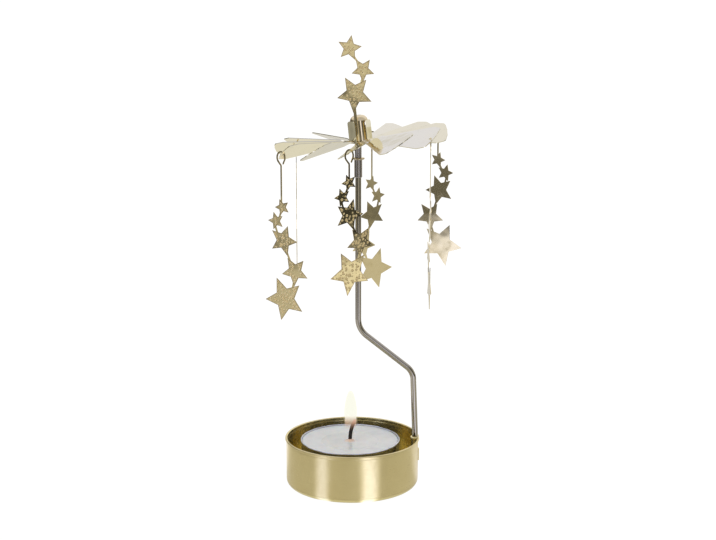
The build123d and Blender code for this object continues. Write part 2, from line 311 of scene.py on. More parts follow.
# %% Etched gold
def etched_gold():
    finish = Finish("etched_gold")
    edge, reach, front = (finish.attribute(name) for name in ("edge", "reach", "front"))
    inset = edge * reach * star_edge_share
    field = finish.ease(inset, 0.22, 0.34) * front
    border = (1.0 - finish.ease(inset, 0.16, 0.3)) * front
    inputs = {"Vector": finish.place, "Scale": 0.85, "Randomness": 0.75}
    cells = finish.ease(finish.make("ShaderNodeTexVoronoi", {"feature": "F1"}, inputs), 0.48, 0.36) * field
    fine = finish.noise(6.0, 2.0)
    patina = finish.noise(0.3, 4.0, roughness=0.6)
    color = finish.mix(finish.ease(patina, 0.4, 0.7) * 0.6, rgb(0.86, 0.73, 0.41), rgb(0.8, 0.66, 0.34))
    color = finish.mix(cells * 0.9, color, rgb(0.97, 0.76, 0.35))
    color = finish.mix(border * 0.75, color, rgb(0.34, 0.25, 0.13))
    rough = 0.09 + cells * (0.3 + fine * 0.2) + finish.ease(patina, 0.5, 0.7) * 0.06
    relief = finish.bump(finish.noise(0.14, 1.0), 0.1)
    relief = finish.bump(fine * cells * 0.3 - cells, 0.03, below=relief)
    return finish.metal(color, rough, relief)


# A star's waist corners stand at this share of its radius, so its outline passes this near to its centre
star_waist = 0.48
star_step = radians(36)
waist_span = sqrt(1 + star_waist**2 - 2 * star_waist * cos(star_step))
star_edge_share = star_waist * sin(star_step) / waist_span
etched_finish = etched_gold()
print("a star's outline passes", round(star_edge_share, 3), "of its radius from the centre")

# %% [markdown]
# ### Steel, aluminium and wax
#
# The rod is drawn steel wire: its polish runs along it in fine lines. The needle and its fittings are
# turned, so their lines run round. The cup of the tea light is soft rolled foil. Wax lets light in, so it
# has subsurface scattering, and the pool round a lit wick is wet and smoother than the rest.


# %% Steel
def steel(name, tint, grain_scale, roughness):
    finish = Finish(name)
    grain = finish.noise(1.0, 3.0, grain_scale)
    patches = finish.noise(0.25, 3.0)
    color = finish.mix(finish.ease(grain, 0.35, 0.65) * 0.3, rgb(*tint), darker(tint, 0.72))
    color = finish.mix(finish.ease(patches, 0.55, 0.75) * 0.2, color, rgb(0.33, 0.3, 0.27))
    rough = roughness + grain * 0.06 + finish.ease(patches, 0.5, 0.7) * 0.05
    return finish.metal(color, rough, finish.bump(grain, 0.002))


rod_finish = steel("drawn_steel", (0.5, 0.45, 0.335), (5.0, 5.0, 0.1), 0.07)
fitting_finish = steel("turned_steel", (0.5, 0.455, 0.39), (0.5, 0.5, 9.0), 0.16)
collar_finish = steel("turned_brass", (0.74, 0.62, 0.4), (0.5, 0.5, 9.0), 0.14)
sustainer_finish = steel("tinned_sheet", (0.6, 0.6, 0.6), (1.0, 1.0, 1.0), 0.25)


# %% Aluminium cup
def foil():
    finish = Finish("rolled_aluminium")
    rolling = finish.noise(1.0, 4.0, (0.5, 0.5, 12.0))
    color = finish.mix(finish.ease(rolling, 0.3, 0.7), rgb(0.72, 0.72, 0.73), rgb(0.58, 0.58, 0.59))
    relief = finish.bump(finish.noise(0.5, 2.0), 0.2, below=finish.bump(rolling, 0.01))
    return finish.metal(color, 0.16 + rolling * 0.16, relief)


cup_finish = foil()


# %% Wax
def wax(centre_x):
    finish = Finish("wax")
    x, y, _ = finish.split(finish.place)
    distance = finish.length(x - centre_x, y)
    wet = finish.ease(distance, 12.5, 10.5)
    clouds = finish.noise(0.25, 4.0)
    grains = finish.noise(3.0, 3.0)
    color = finish.mix(finish.ease(clouds, 0.35, 0.7), rgb(0.8, 0.8, 0.79), rgb(0.74, 0.745, 0.74))
    # Painted light: the wax within 3 mm of the wick is tinted orange, as painted glow of the flame.
    color = finish.mix(finish.ease(distance, 3.0, 0.8) * 0.75, color, rgb(0.86, 0.55, 0.36))
    relief = finish.bump(clouds, 0.25, 0.5, finish.bump(grains, 0.02))
    return finish.set(
        base_color=color, roughness=0.42 + grains * 0.16 - wet * 0.3, normal=relief, subsurface_weight=0.5,
        subsurface_radius=(1.0, 0.7, 0.5), subsurface_scale=2.0 * mm, ior=1.44,
    )


tealight_x = -0.8
wax_finish = wax(tealight_x)

# %% [markdown]
# ## Shapes
#
# Three small helpers cover most of the pieces. `plain_mesh` turns lists of corners and faces into a mesh.
# `turned` spins a profile round an upright axis. `grown` runs a Geometry Nodes tree and keeps its result as
# a plain mesh, so nothing live is left on the piece. `add_piece` makes the object, says what it rides on and
# hides the solids it stands in for. Its place is in its mesh, so the object stays at the origin.


# %% Mesh helpers
def add_piece(name, mesh, body, *replaced, finish, slot=None, smooth_angle=40.0):
    piece = new_object(name, mesh)
    mesh.materials.clear()
    mesh.materials.append(finish)
    mesh.shade_smooth()
    mesh.set_sharp_from_angle(angle=radians(smooth_angle))
    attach(piece, body)
    if replaced:
        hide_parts(*replaced)
    print(name, "rides on", body, "with", len(mesh.polygons), "faces")


def plain_mesh(name, corners, faces, edges=()):
    mesh = bpy.data.meshes.new(name)
    mesh.from_pydata([tuple(Vector(corner) * mm) for corner in corners], edges, faces)
    mesh.update()
    return mesh


def turned(name, profile, centre=(0.0, 0.0), segments=128, ripple=None):
    """Spins (radius, height) corners round an upright line. The profile runs with the solid on its left."""
    corners, faces, rows = [], [], []
    for index, (radius, height) in enumerate(profile):
        on_axis = radius < 1e-6
        rows.append([len(corners) + (0 if on_axis else step) for step in range(segments)])
        for step in range(1 if on_axis else segments):
            angle = 2 * pi * step / segments
            grow, lift = ripple(index, angle) if ripple else (0.0, 0.0)
            reach = radius + grow
            corners.append((centre[0] + reach * cos(angle), centre[1] + reach * sin(angle), height + lift))
    for low, high in zip(rows, rows[1:]):
        for step in range(segments):
            after = (step + 1) % segments
            face = list(dict.fromkeys((low[step], low[after], high[after], high[step])))
            if len(face) > 2:
                faces.append(face)
    return plain_mesh(name, corners, faces)


def arc(centre, radius, start, end, steps):
    """Corners of an arc in a profile, its angles in degrees from the outward direction."""
    angles = [radians(start + (end - start) * step / steps) for step in range(steps + 1)]
    return [(centre[0] + radius * cos(angle), centre[1] + radius * sin(angle)) for angle in angles]


# %% Geometry Nodes helpers
class Rule(Tree):
    """A Geometry Nodes tree with named inputs for its sizes."""

    def __init__(self, name, sizes):
        group = bpy.data.node_groups.new(name, "GeometryNodeTree")
        super().__init__(group)
        for way in ("INPUT", "OUTPUT"):
            group.interface.new_socket("Geometry", in_out=way, socket_type="NodeSocketGeometry")
        for size, value in sizes.items():
            kind = "NodeSocketInt" if isinstance(value, int) else "NodeSocketFloat"
            group.interface.new_socket(size, in_out="INPUT", socket_type=kind).default_value = value
        self.entry = group.nodes.new("NodeGroupInput")
        self.exit = group.nodes.new("NodeGroupOutput")

    def size(self, name):
        """An input of the tree, one of its sizes or the geometry that comes in."""
        return Wire(self, self.entry.outputs[name])

    def node(self, kind, settings=None, output=0, **inputs):
        """A Geometry node, with its sockets as keywords that have underscores for spaces."""
        inputs = {name.replace("_", " "): value for name, value in inputs.items()}
        return self.make("GeometryNode" + kind, settings, inputs, output)

    def join(self, *parts):
        joined = self.node("JoinGeometry")
        for part in reversed(parts):
            self.plug(joined.socket.node.inputs["Geometry"], part)
        return joined

    def named(self, name):
        return self.node("InputNamedAttribute", {"data_type": "FLOAT"}, Name=name)

    def store(self, geometry, name, value, domain="POINT"):
        settings = {"data_type": "FLOAT", "domain": domain}
        return self.node("StoreNamedAttribute", settings, Geometry=geometry, Name=name, Value=value)

    def finish(self, geometry, material):
        """Every tree ends the same way: real geometry with its material set."""
        real = self.node("RealizeInstances", Geometry=geometry)
        self.plug(self.exit.inputs["Geometry"], self.node("SetMaterial", Geometry=real, Material=material))
        return self.node_tree


def grown(name, group, seed_mesh=None, values=None, place=None):
    """Runs a tree on a seed mesh and returns its result as a plain mesh."""
    carrier = new_object(name + "_seed", seed_mesh or bpy.data.meshes.new(name + "_seed"))
    modifier = carrier.modifiers.new("rule", "NODES")
    modifier.node_group = group
    for item in group.interface.items_tree:
        if item.item_type == "SOCKET" and item.in_out == "INPUT" and values and item.name in values:
            modifier[item.identifier] = values[item.name]
    bpy.context.view_layer.update()
    graph = bpy.context.evaluated_depsgraph_get()
    evaluated = carrier.evaluated_get(graph)
    mesh = bpy.data.meshes.new_from_object(evaluated, preserve_all_data_layers=True, depsgraph=graph)
    bpy.data.objects.remove(carrier)
    if place is not None:
        mesh.transform(place)
    mesh.name = name
    return mesh


print("helpers ready")

# %% [markdown]
# ## The tin
#
# The tin's own solid already has its drawn wall, rounded corner, curled rim, pressed groove and lanced
# strap. It keeps its shape and takes the satin finish.

# %% Tin
nodes["tin_base"].data.materials[0] = tin_finish
print("tin_base takes", tin_finish.name)

# %% [markdown]
# ## The tea light
#
# A tea light's cup is so thin that its wall ripples and its rim is never a true circle. A turned profile is
# spun round, and a few sine waves of different lengths push the wall and the rim about. The waves add up
# differently all the way round, so they look like handling and not like fluting.

# %% Tea light cup
cup_floor, cup_height, cup_radius, cup_sheet = 0.4, 17.3, 19.0, 0.22
cup_top = cup_floor + cup_height
cup_corner = 1.2
tealight_middle = (tealight_x, 0.0)


def waves(angle, *terms):
    """A sum of sine waves, each given by its count round the circle, its start and its size."""
    return sum(size * sin(count * angle + start) for count, start, size in terms)


def cup_ripple(index, angle):
    push = 0.045 * waves(angle, (5, 0.6, 1.0), (13, 2.1, 0.7), (29, 0.0, 0.5), (47, 1.0, 0.3))
    lift = 0.035 * waves(angle, (7, 0.0, 1.0), (19, 1.3, 0.8))
    return push * cup_weight[index], lift * cup_weight[index]


def cup_profile():
    outer_corner = arc((cup_radius - cup_corner, cup_floor + cup_corner), cup_corner - 0.15, -90, 0, 6)
    bead = arc((cup_radius, cup_top - 0.3), 0.27, -75, 185, 14)
    outer_wall = [(cup_radius - 0.15, cup_floor + 6.0), (cup_radius - 0.05, cup_top - 1.0)]
    inner_wall = [(cup_radius - 0.3, cup_top - 1.0), (cup_radius - 0.38, cup_floor + 2.0)]
    inner_floor = [(cup_radius - 1.6, cup_floor + cup_sheet), (0.0, cup_floor + cup_sheet)]
    outer_floor = [(0.0, cup_floor), (cup_radius - 3.0, cup_floor)]
    return outer_floor + outer_corner + outer_wall + bead + inner_wall + inner_floor


profile = cup_profile()
cup_weight = [max(0.0, min(1.0, (height - 2.0) / 12.0)) if radius > 17 else 0.0 for radius, height in profile]
cup_mesh = turned("tealight_cup_dressed", profile, tealight_middle, 192, cup_ripple)
add_piece("foil_cup", cup_mesh, "tealight", "tealight_cup", finish=cup_finish, slot="cup")

# %% [markdown]
# The wax fills the cup and creeps up its wall and up the wick, as every liquid did that has since set. Its
# top is a turned profile with both rises, and the melted pool is a shallow dip between them.

# %% Wax
wax_level, wick_radius, ring_step = 16.95, 0.65, 0.35
wax_edge = cup_radius - 0.42


def wax_height(distance):
    pool = -0.12 * max(0.0, 1 - (distance / 12.0) ** 4)
    wall_rise = 0.3 * max(0.0, (distance - 17.0) / 1.55) ** 2
    wick_rise = 0.9 * max(0.0, 1 - (distance - wick_radius) / 1.8) ** 2
    return wax_level + pool + wall_rise + wick_rise


wax_profile = [(0.0, 1.0), (wax_edge - 1.4, 1.0), (wax_edge, 2.4)]
surface_radii = [wax_edge - step * ring_step for step in range(53)]
wax_profile += [(radius, wax_height(radius)) for radius in surface_radii if radius > wick_radius - 0.1]
wax_profile += [(wick_radius - 0.1, wax_height(wick_radius)), (0.0, wax_height(wick_radius))]
wax_mesh = turned("wax_fill_dressed", wax_profile, tealight_middle, 160)
add_piece("wax_fill", wax_mesh, "tealight", "tealight_wax", finish=wax_finish, slot="wax")
nodes["wick_sustainer"].data.materials[0] = sustainer_finish

# %% [markdown]
# ## The wick
#
# A wick is a braid of cotton. Three strands twisted round one bent line read as a braid at this size. The
# tree copies the line three times, pushes each copy out along a turning direction, and gives every copy a
# round section that thins toward the burnt tip. The tip is charred black, with a faint ember in it.

# %% Wick material
wick_foot, wick_bend_start, wick_top, wick_bend = 14.0, 17.2, 25.4, radians(26.5)


def charred_cotton():
    finish = Finish("charred_cotton")
    _, _, z = finish.split(finish.place)
    ash = finish.noise(4.0, 4.0)
    ember = finish.ease(z, wick_top - 2.6, wick_top - 0.2) * finish.ease(ash, 0.3, 0.6)
    color = finish.mix(finish.ease(ash, 0.4, 0.7), rgb(0.012, 0.010, 0.009), rgb(0.045, 0.035, 0.03))
    glow = finish.mix(ember, rgb(0.0, 0.0, 0.0), rgb(1.0, 0.2, 0.03))
    relief = finish.bump(ash, 0.08)
    return finish.set(
        base_color=color, roughness=0.85, normal=relief, emission_color=glow, emission_strength=0.5
    )


wick_finish = charred_cotton()


# %% Wick strands
def strand_rule():
    sizes = {"Strands": 3, "Turns": 5.0, "Lay Radius": 0.32 * mm, "Strand Radius": 0.44 * mm}
    rule = Rule("twisted_strands", sizes)
    strands, lay_radius = rule.size("Strands"), rule.size("Lay Radius")
    line = rule.node("MeshToCurve", Mesh=rule.size("Geometry"))
    line = rule.node("ResampleCurve", Curve=line, Count=90)
    copies = rule.node("DuplicateElements", {"domain": "SPLINE"}, Geometry=line, Amount=strands)
    along = rule.node("SplineParameter", output="Factor")
    angle = (along * rule.size("Turns") + copies.other("Duplicate Index") / strands) * (2 * pi)
    side = rule.vector_math("CROSS_PRODUCT", rule.node("InputTangent"), (0.0, 1.0, 0.0))
    out = rule.scaled(side, rule.math("COSINE", angle) * lay_radius)
    offset = rule.vector_math("ADD", out, rule.vector(y=rule.math("SINE", angle) * lay_radius))
    twisted = rule.node("SetPosition", Geometry=copies, Offset=offset)
    section = rule.node("CurvePrimitiveCircle", Resolution=10, Radius=1.0)
    thickness = rule.size("Strand Radius") * (1.0 - 0.45 * rule.ease(along, 0.8, 1.0))
    tube = rule.node("CurveToMesh", Curve=twisted, Profile_Curve=section, Scale=thickness, Fill_Caps=True)
    return rule.finish(tube, wick_finish)


def wick_line():
    """The same line as the solid wick: straight up through the wax, then an arc toward the rod."""
    radius = (wick_top - wick_bend_start) / sin(wick_bend)
    corners = [(tealight_x, 0, height) for height in (wick_foot, 15.0, 16.0, wick_bend_start)]
    for step in range(1, 17):
        angle = wick_bend * step / 16
        corners.append((tealight_x + radius * (1 - cos(angle)), 0, wick_bend_start + radius * sin(angle)))
    return plain_mesh("wick_line", corners, [], [(index, index + 1) for index in range(len(corners) - 1)])


wick_mesh = grown("wick_strands", strand_rule(), wick_line())
add_piece("braided_wick", wick_mesh, "tealight", "wick", finish=wick_finish, slot="wick")

# %% [markdown]
# ## The flame
#
# A flame has no surface, but nested shells of light read as one: a pale outer veil and an almost white
# heart. Each is a turned drop that is clear low down, where the real flame is thin and shows the wick, and
# turns from orange to its full tone as it rises. Their light is a little below full white, because the
# view transform that is set below clips everything brighter.

# %% Flame
flame_x, flame_bottom, flame_top = -0.6, 18.8, 37.0
flame_widest = 0.33


def flame_glow(name, low_color, high_color, whole_alpha):
    finish = Finish(name)
    _, _, z = finish.split(finish.place)
    height = finish.ramp(z, flame_bottom, flame_top)
    color = finish.mix(finish.ease(height, 0.15, 0.5), low_color, high_color)
    alpha = finish.ease(height, 0.14, 0.64) * whole_alpha
    return finish.set(
        base_color=rgb(0.0, 0.0, 0.0), roughness=1.0, specular_ior_level=0.0, alpha=alpha,
        emission_color=color, emission_strength=1.0,
    )


def flame_shell(name, bottom, top, radius, finish, steps=32):
    profile = [(0.0, bottom)]
    for step in range(1, steps):
        share = (1 - cos(pi * step / steps)) / 2
        from_widest = (share - flame_widest) / (flame_widest if share < flame_widest else 1 - flame_widest)
        profile.append((radius * sqrt(1 - from_widest**2), bottom + (top - bottom) * share))
    profile.append((0.0, top))
    mesh = turned(name + "_mesh", profile, (flame_x, 0.0), 48)
    add_piece(name, mesh, "tealight", finish=finish, smooth_angle=180.0)


veil = flame_glow("flame_veil", rgb(1.0, 0.62, 0.36), rgb(0.93, 0.93, 0.62), 0.25)
heart = flame_glow("flame_heart", rgb(1.0, 0.5, 0.22), rgb(0.985, 0.985, 0.92), 0.95)
flame_shell("flame_outer", flame_bottom, flame_top, 2.65, veil)
flame_shell("flame_inner", flame_bottom + 0.6, flame_top - 0.7, 2.2, heart)

# %% [markdown]
# ## The rod, its sleeve and the needle
#
# The rod's solid keeps its shape. The sleeve, collar and needle are turned parts a few millimetres wide,
# and their small chamfers are what catches the light, so they are spun again with those edges broken.

# %% Rod and fittings
nodes["stand_rod"].data.materials[0] = rod_finish
post_x = joints["rotor_spin"]["pos_m"][0] / mm
point_height = joints["rotor_spin"]["pos_m"][2] / mm
sleeve_bottom, sleeve_top = 120.2, 127.0
collar_top = sleeve_top + 0.6
bore_radius, barrel_radius = 1.15, 1.3
barrel_top = point_height - 4.6


def ring_profile(inner, outer, bottom, top, chamfer):
    """A closed ring section, from the inner bottom corner round and back to it."""
    return [
        (inner, bottom), (outer - chamfer, bottom), (outer, bottom + chamfer), (outer, top - chamfer),
        (outer - chamfer, top), (inner, top), (inner, bottom),
    ]


sleeve_profile = ring_profile(bore_radius, 1.53, sleeve_bottom, sleeve_top, 0.12)
collar_profile = ring_profile(bore_radius, 2.45, sleeve_top, collar_top, 0.15)
needle_profile = [(0.0, 124.0), (bore_radius, 124.0), (bore_radius, collar_top)]
needle_profile += [(barrel_radius, collar_top + 0.15), (barrel_radius, barrel_top), (1.22, barrel_top + 0.3)]
needle_profile += [(0.12, point_height - 0.12), (0.06, point_height - 0.02), (0.0, point_height)]
for name, profile, replaced, finish in (
    ("rod_sleeve", sleeve_profile, "point_sleeve", fitting_finish),
    ("collar_washer", collar_profile, "sleeve_collar", collar_finish),
    ("point_needle", needle_profile, "needle", fitting_finish),
):
    mesh = turned(name + "_mesh", profile, (post_x, 0.0), 96)
    add_piece(name, mesh, "stand", replaced, finish=finish, slot="fitting")

# %% [markdown]
# ## The cap on the point
#
# The cap is a deep-drawn thimble. Its crown is round, its wall straight, and its mouth has a small flare
# where the drawing tool let go. All of the rotor leans a little, because it hangs on one point and is never
# in perfect balance, so its pieces are built upright at the point and tilted together.

# %% Rotor's place
lean_angle, lean_heading = radians(6.4), radians(167.0)
lean = Matrix.Rotation(lean_heading, 4, "Z") @ Matrix.Rotation(lean_angle, 4, "Y")
lean = lean @ Matrix.Rotation(-lean_heading, 4, "Z")
rotor_place = Matrix.Translation(Vector((post_x, 0.0, point_height)) * mm) @ lean
cap_radius, cap_depth, cap_sheet = 3.4, 9.3, 0.3
print("the rotor hangs on", tuple(round(value, 4) for value in rotor_place.translation))


# %% Cap
def cap_profile():
    crown, round_edge = 0.21, 2.4
    corner = (cap_radius - round_edge, crown - round_edge)
    outside = [(cap_radius - 0.05, -cap_depth), (cap_radius + 0.12, -cap_depth + 0.06)]
    outside += [(cap_radius + 0.14, -cap_depth + 0.2), (cap_radius, -cap_depth + 0.55)]
    outside += arc(corner, round_edge, 0, 90, 14) + [(0.4, crown), (0.0, crown - 0.03)]
    inside = [(0.0, 0.03), (0.5, -0.08)] + arc(corner, round_edge - cap_sheet, 90, 0, 12)
    inside += [(cap_radius - cap_sheet, -cap_depth), (cap_radius - 0.05, -cap_depth)]
    return outside + inside


cap_mesh = turned("cap_dressed", cap_profile())
cap_mesh.transform(rotor_place)
add_piece("point_cap", cap_mesh, "rotor", "hub_cap", finish=cap_finish, slot="gold_sheet")

# %% [markdown]
# ## The rotor's blades
#
# Twelve blades repeat round the hub, and each one follows a rule: a narrow neck at the root, widest at the
# shoulder, cut back to the tip, and turned to its pitch along the neck. Geometry Nodes bends one flat grid
# into that shape by formulas of the distance from the hub, gives it the sheet's thickness, repeats it round
# the hub, and punches the pendant holes in every second blade.


# %% Blade rule
def blade_rule():
    rule = Rule(
        "winged_rotor",
        {
            "Blades": 12, "First Angle": -4.0, "Pitch": 24.0, "Sheet": 0.29, "Inner Radius": 4.1,
            "Root Radius": 8.6, "Shoulder Radius": 28.2, "Tip Radius": 32.4, "Neck Half Width": 1.1,
            "Root Half Width": 2.1, "Shoulder Half Width": 7.5, "Tip Half Width": 6.4, "Corner": 1.0,
            "Hole Radius": 0.62, "Hole Distance": 31.15, "Hole Side": -1.2, "Plate Height": -9.45,
        },
    )
    radii = (rule.size(f"{part} Radius") for part in ("Inner", "Root", "Shoulder", "Tip"))
    halves = (rule.size(f"{part} Half Width") for part in ("Neck", "Root", "Shoulder", "Tip"))
    inner, root, shoulder, tip = radii
    neck_half, root_half, shoulder_half, tip_half = halves
    grid = rule.node("MeshGrid", Size_X=1.0, Size_Y=2.0, Vertices_X=72, Vertices_Y=13)
    x, y, _ = rule.split(rule.node("InputPosition"))
    share = 1.0 - (0.5 - x) * (0.5 - x)
    tip_reach = rule.math("SQRT", tip * tip - y * y * tip_half * tip_half)
    distance = inner + share * (tip_reach - inner)
    width = neck_half + rule.ramp(distance, inner, root) * (root_half - neck_half)
    width = width + rule.ramp(distance, root, shoulder) * (shoulder_half - root_half)
    width = width + rule.ramp(distance, shoulder, tip - 0.64) * (tip_half - shoulder_half)
    near_tip = rule.clamp(1.0 - (tip_reach - distance) / rule.size("Corner"))
    width = width - rule.size("Corner") * (1.0 - rule.math("SQRT", 1.0 - near_tip * near_tip))
    pitch = rule.size("Pitch") * (pi / 180) * rule.ease(distance, inner + 0.9, root)
    across = y * width
    bent = rule.vector(distance, across * rule.math("COSINE", pitch), across * rule.math("SINE", pitch))
    return rule, rule.node("SetPosition", Geometry=grid, Position=bent)


def solid_sheet(rule, geometry, thickness):
    """Gives an open surface a thickness, half on each side, with its edges closed."""
    half = rule.scaled(rule.node("InputNormal"), thickness * -0.5)
    low = rule.node("SetPosition", Geometry=geometry, Offset=half)
    high = rule.node("ExtrudeMesh", {"mode": "FACES"}, Mesh=low, Offset_Scale=thickness, Individual=False)
    both = rule.join(high, rule.node("FlipFaces", Mesh=low))
    return rule.node("MergeByDistance", Geometry=both, Distance=0.002)


def winged_rotor():
    rule, shaped = blade_rule()
    size = rule.size
    sheet = solid_sheet(rule, shaped, size("Sheet"))
    index = rule.node("InputIndex")
    spots = rule.node("MeshLine", Count=size("Blades"), Offset=(0.0, 0.0, 0.0))
    spots = rule.node("SetPosition", Geometry=spots, Offset=rule.vector(z=size("Plate Height")))
    turn = (size("First Angle") + index * (360.0 / size("Blades"))) * (pi / 180)
    heading = rule.vector(z=turn)
    blades = rule.node("InstanceOnPoints", Points=spots, Instance=sheet, Rotation=heading)
    punch = rule.node("MeshCylinder", Vertices=32, Radius=size("Hole Radius"), Depth=3.0)
    seat = rule.vector(size("Hole Distance"), size("Hole Side"))
    punch = rule.node("Transform", Geometry=punch, Translation=seat)
    punch = rule.node("Transform", Geometry=punch, Rotation=rule.vector(size("Pitch") * (pi / 180)))
    odd = rule.math("MODULO", index, 2.0)
    punches = rule.node("InstanceOnPoints", Points=spots, Selection=odd, Instance=punch, Rotation=heading)
    cut = rule.node("MeshBoolean", {"operation": "DIFFERENCE", "solver": "EXACT"})
    for socket, instances in (("Mesh 1", blades), ("Mesh 2", punches)):
        real = rule.node("RealizeInstances", Geometry=instances)
        rule.plug(cut.socket.node.inputs[socket], real)
    return rule.finish(cut, sheet_finish)


blades_mesh = grown("rotor_blades", winged_rotor(), place=rotor_place @ Matrix.Scale(mm, 4))
print("blades:", len(blades_mesh.polygons), "faces")

# %% [markdown]
# The blades join a flat plate whose three tabs are bent up against the cap. A tab is a strip that follows
# a path of plate, bend and upright, so its bend has a real radius, and its top corners are rounded.

# %% Plate and tabs
plate_sheet = 0.3
plate_top = -cap_depth
plate_under = plate_top - plate_sheet
tab_bend, tab_half, tab_corner, tab_rise = 0.55, 2.3, 0.9, 7.5
snug = 0.02


def merged(name, meshes, thickness=None):
    """Several meshes as one, or one open surface as a sheet with both faces and all edges."""
    mesh = bpy.data.meshes.new(name)
    form = bmesh.new()
    for part in meshes:
        form.from_mesh(part)
    if thickness:
        form.normal_update()
        bmesh.ops.solidify(form, geom=form.faces[:], thickness=thickness * mm)
        bmesh.ops.recalc_face_normals(form, faces=form.faces[:])
    form.to_mesh(mesh)
    form.free()
    return mesh


def tab_mesh(angle, across=9):
    """The tab's path from the plate up the cap, with its width and its rounded top corners."""
    wall = cap_radius + snug + plate_sheet
    path = [(5.0, plate_under), (4.4, plate_under)]
    for turn in map(radians, range(0, 91, 15)):
        path.append((wall + tab_bend * (1 - sin(turn)), plate_under + tab_bend * (1 - cos(turn))))
    top, start = tab_rise - cap_depth, path[-1][1]
    path += [(wall, start + (top - start) * step / 12) for step in range(1, 13)]
    corners, faces = [], []
    for radius, height in path:
        inset = max(0.0, tab_corner - (top - height))
        half = tab_half - (tab_corner - sqrt(max(0.0, tab_corner**2 - inset**2)))
        row = [Vector((radius, half * (step / 4 - 1), height)) for step in range(across)]
        corners += [Matrix.Rotation(angle, 3, "Z") @ corner for corner in row]
    for first in range(0, len(corners) - across, across):
        for low in range(first, first + across - 1):
            faces.append((low, low + 1, low + across + 1, low + across))
    return merged("tab", [plain_mesh("tab_middle", corners, faces)], plate_sheet)


plate_mesh = turned("plate", ring_profile(3.0, 5.2, plate_under, plate_top, 0.02))
hub_mesh = merged("hub", [plate_mesh] + [tab_mesh(radians(215.0 + tab * 120.0)) for tab in range(3)])
hub_mesh.transform(rotor_place)
rotor_mesh = merged("rotor_sheet", [blades_mesh, hub_mesh])
add_piece(
    "pressed_rotor", rotor_mesh, "rotor", "rotor_disc", finish=sheet_finish, slot="gold_sheet", smooth_angle=30
)

# %% [markdown]
# ## Chains of stars
#
# Each chain is cut from one flat sheet: stars that touch, thin bridges between them, and for a pendant the
# shank and the open hook. One tree makes them all from a simple seed mesh. Its loose points say where the
# stars are, with their radius and turn as attributes. Its edges are the middle lines of the strips, with
# the strip's width as an attribute. The strips are a hair thinner than the stars, so that no two faces lie
# in one plane.


# %% Star chain rule
def star_form(rule):
    """A star of radius 1 and thickness 1, its edges a little broken."""
    corners = rule.size("Points") * 2
    fan = {"fill_type": "TRIANGLE_FAN"}
    disc = rule.node("MeshCylinder", fan, Vertices=corners, Side_Segments=2, Radius=1.0, Depth=1.0)
    x, y, z = rule.split(rule.node("InputPosition"))
    step = rule.math("ROUND", rule.math("ARCTAN2", y, x) * rule.size("Points") / pi)
    waist = rule.math("PINGPONG", step, 1.0)
    broken = rule.math("GREATER_THAN", rule.math("ABSOLUTE", z), 0.25)
    grow = (1.0 + waist * (rule.size("Waist") - 1.0)) * (1.0 - broken * (1.0 - rule.size("Edge Break")))
    star = rule.node("SetPosition", Geometry=disc, Position=rule.vector(x * grow, y * grow, z))
    star = rule.store(star, "edge", rule.math("LESS_THAN", rule.length(x, y), 0.01))
    _, _, up = rule.split(rule.node("InputNormal"))
    return rule.store(star, "front", rule.math("GREATER_THAN", up, 0.7), "FACE")


def chain_rule():
    rule = Rule("star_chain", {"Sheet": 0.25, "Waist": star_waist, "Edge Break": 0.985, "Points": 5})
    seed, sheet, reach = rule.size("Geometry"), rule.size("Sheet"), rule.named("reach")
    chosen = rule.math("GREATER_THAN", reach, 0.01)
    stars = rule.node(
        "InstanceOnPoints",
        Points=rule.node("MeshToPoints", {"mode": "VERTICES"}, Mesh=seed, Selection=chosen),
        Instance=star_form(rule),
        Rotation=rule.vector(z=rule.named("turn")),
        Scale=rule.vector(reach, reach, sheet),
    )
    lines = rule.node("MeshToCurve", Mesh=seed)
    lines = rule.node("SetCurveNormal", {"mode": "Z_UP"}, Curve=lines)
    section = rule.node("CurvePrimitiveLine", Start=(-0.5, 0.0, 0.0), End=(0.5, 0.0, 0.0))
    ribbons = rule.node("CurveToMesh", Curve=lines, Profile_Curve=section, Scale=rule.named("width"))
    strips = solid_sheet(rule, ribbons, sheet - 0.012)
    return rule.finish(rule.join(stars, strips), etched_finish)


star_chain = chain_rule()
print(star_chain.name, "has", len(star_chain.nodes), "nodes")

# %% [markdown]
# The seed of a chain is plain data. A star is ((x, y), radius, clockwise turn). A bridge joins one star's
# point to another's. The hook is an oval path that starts at its open end, goes over the top and comes down
# to the neck of the shank.


# %% Seeds of the chains
class Seed:
    """Loose points for the stars and edges for the strips, as (place, reach, turn, width)."""

    def __init__(self, stars, links, bridge_width=0.7):
        self.edges = []
        self.points = [(place, radius, radians(126.0 - turn), 0.0) for place, radius, turn in stars]
        for first, first_point, second, second_point in links:
            ends = [arm_place(stars[first], first_point), arm_place(stars[second], second_point)]
            self.strip(ends, [bridge_width] * 2)

    def strip(self, path, widths):
        first = len(self.points)
        self.points += [(place, 0.0, 0.0, width) for place, width in zip(path, widths)]
        self.edges += [(first + step, first + step + 1) for step in range(len(path) - 1)]

    def mesh(self, name):
        mesh = bpy.data.meshes.new(name)
        mesh.from_pydata([(*point[0], 0.0) for point in self.points], self.edges, [])
        for column, title in enumerate(("reach", "turn", "width"), 1):
            values = [point[column] for point in self.points]
            mesh.attributes.new(title, "FLOAT", "POINT").data.foreach_set("value", values)
        return mesh


def arm_place(star, point, share=0.45):
    """A place on a star's arm. Points count clockwise from the upper left."""
    (x, y), radius, turn = star
    angle = radians(turn + (2 * point - 1) * 36)
    return (x + share * radius * sin(angle), y + share * radius * cos(angle))


def rounded_start(path, width, steps=8):
    """Puts a half-round end before the path's first corner, and gives every corner its width."""
    here, after = Vector(path[0]), Vector(path[1])
    back = (here - after).normalized() * (width / 2)
    turns = [radians(3 + 87 * step / steps) for step in range(steps + 1)]
    ends = [tuple(here + back * cos(turn)) for turn in turns]
    return ends + path[1:], [width * sin(turn) for turn in turns] + [width] * (len(path) - 1)


